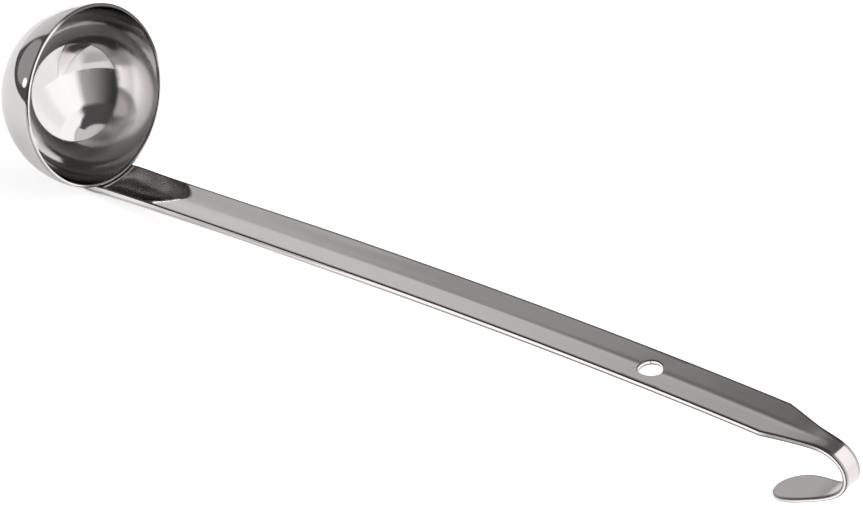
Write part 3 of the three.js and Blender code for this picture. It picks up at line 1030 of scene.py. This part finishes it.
# Light tent round the table. Bearings are in degrees from the camera's side, counter-clockwise from above,
# back bearings from the far side. Levels are what a white card shows. The backdrop's ramps run with the
# sine of the height, the side wall's along its span.
lightTent = {
    "dim": 0.10,
    "backdrop": {"rightEnd": -56.0, "leftEnd": 41.0, "soft": 2.0, "turnFrom": 13.0, "turnTo": 18.0,
                 "shadeFrom": -10.0, "shadeTo": 6.0, "shade": 0.28},
    "backdropFar": ((0.0, 0.62), (0.09, 0.66), (0.15, 0.76), (0.26, 0.81), (0.36, 0.79), (0.44, 0.69),
                    (0.49, 0.60), (0.55, 0.56), (0.61, 0.40), (0.67, 0.37), (0.70, 0.25), (0.80, 0.10)),
    "backdropLeft": ((0.0, 0.84), (0.26, 0.76), (0.44, 0.67), (0.50, 0.59), (0.63, 0.55), (0.85, 0.30)),
    "flap": {"bearing": -114.0, "height": 17.0, "halfWidth": 22.5, "halfHeight": 16.0, "level": 0.40},
    "spot": {"bearing": -99.0, "height": 8.5, "halfWidth": 4.0, "halfHeight": 4.0, "level": 1.6},
    "ovalRim": (0.85, 1.1),
    "doorway": {"left": -34.0, "dark": -24.0, "bright": 34.0, "low": 0.06, "high": 0.60, "top": 43.0,
                "soft": 3.0},
    "sideWall": {"from": 20.0, "full": 32.0, "shift": 8.0, "shiftSoft": 4.0, "end": 124.0, "soft": 2.0,
                 "span": 110.0, "top": 45.5},
    "sideWallLow": ((0.09, 1.5), (0.23, 1.8), (0.36, 2.2), (0.47, 2.8), (0.60, 3.4), (0.75, 4.0),
                    (0.85, 4.8)),
    "sideWallDirect": ((0.09, 1.45), (0.22, 1.5), (0.40, 1.45), (0.49, 1.2), (0.60, 1.2), (0.70, 1.35),
                       (0.85, 1.35)),
    "sideWallHigh": ((0.10, 0.9), (0.24, 1.4)),
    "sideWallTop": {"low": 55.0, "high": 63.0, "from": 30.0, "to": 62.0, "soft": 2.0},
    "secondMirror": (2.2, 2.8),  # ray depth between the first mirror and the second, as the world counts it
    "ceiling": {"edge": 70.5, "soft": 1.5, "drop": 11.0, "dropFrom": 60.0, "dropFull": 70.0,
                "dropFade": 8.0, "level": 0.80},
}


def makeTent():
    tent = lightTent
    world = bpy.data.worlds.new("lightTent")
    bpy.context.scene.world = world
    wire = newTree(world)
    x, y, z = partsOf(wire, wire.add("ShaderNodeTexCoord", output="Generated"), "XYZ")
    sine, cosine = math.sin(viewpoint["azimuth"]), math.cos(viewpoint["azimuth"])
    front = x * sine - y * cosine
    side = x * cosine + y * sine
    bearing = wire.calc("ARCTAN2", side, front) / degree
    backBearing = wire.calc("ARCTAN2", 0.0 - side, 0.0 - front) / degree
    height = wire.calc("ARCSINE", z) / degree

    def past(value, edge, soft):
        return value.rise(edge - soft, edge + soft)

    def between(value, low, high, soft):
        return past(value, low, soft) * (1.0 - past(value, high, soft))

    def oval(patch):
        across = (bearing - patch["bearing"]) / patch["halfWidth"]
        upward = (height - patch["height"]) / patch["halfHeight"]
        return 1.0 - (across ** 2.0 + upward ** 2.0).rise(*tent["ovalRim"])

    # backdrop behind the ladle, darker with height
    back = tent["backdrop"]
    shade = (1.0 - backBearing.rise(back["shadeFrom"], back["shadeTo"])) * back["shade"]
    far = shade.blend(z.ramp(tent["backdropFar"]), grey(0.0))
    cloth = backBearing.rise(back["turnFrom"], back["turnTo"]).blend(far, z.ramp(tent["backdropLeft"]))
    shown = between(backBearing, back["rightEnd"], back["leftEnd"], back["soft"])
    tone = shown.blend(grey(tent["dim"]), cloth)

    # open flap on the left with a lamp behind it
    for patch in (tent["flap"], tent["spot"]):
        tone = oval(patch).blend(tone, grey(patch["level"]))

    # doorway for the camera, lighter towards the side wall
    door, wall, top = tent["doorway"], tent["sideWall"], tent["sideWallTop"]
    level = bearing.rise(door["dark"], door["bright"]) * (door["high"] - door["low"]) + door["low"]
    opening = between(bearing, door["left"], wall["full"], door["soft"])
    opening = opening * (1.0 - past(height, door["top"], door["soft"]))
    tone = opening.blend(tone, level.asGrey())

    # bright side wall with a sloping top, plain in the first mirror and brighter only in mirrors of mirrors
    edge = bearing.rise(top["from"], top["to"]) * (top["high"] - top["low"]) + top["low"]
    shifted = bearing - past(height, door["top"], wall["shiftSoft"]) * wall["shift"]
    lit = shifted.rise(wall["from"], wall["full"])
    lit = lit * (1.0 - past(bearing, wall["end"], wall["soft"]))
    lit = lit * (1.0 - past(height - edge, 0.0, top["soft"]))
    along = (bearing - wall["from"]) / wall["span"]
    twice = lightPath(wire, "Ray Depth").rise(*tent["secondMirror"])
    once = lightPath(wire, "Is Glossy Ray") * (1.0 - twice)
    low = once.blend(along.ramp(tent["sideWallLow"]), along.ramp(tent["sideWallDirect"]))
    panel = past(height, wall["top"], wall["soft"]).blend(low, along.ramp(tent["sideWallHigh"]))
    tone = lit.blend(tone, panel)

    # ceiling, lower over the side wall
    roof = tent["ceiling"]
    lower = bearing.rise(roof["dropFrom"], roof["dropFull"])
    lower = lower * (1.0 - bearing.rise(wall["end"], wall["end"] + roof["dropFade"]))
    over = past(height + lower * roof["drop"], roof["edge"], roof["soft"])
    tone = (over * (1.0 - lit)).blend(tone, grey(roof["level"]))

    tone = lightPath(wire, "Is Camera Ray").blend(tone, grey(1.0))
    light = wire.add("ShaderNodeBackground", None, {"Color": tone, "Strength": 1.0})
    wire.add("ShaderNodeOutputWorld", None, {"Surface": light})


makeCamera()
makeTable()
makeTent()
print("ladle: camera, table and studio light are set")
makeBowl()
makeHandle()
makeWelds()
bpy.context.scene.view_settings.view_transform = "Standard"
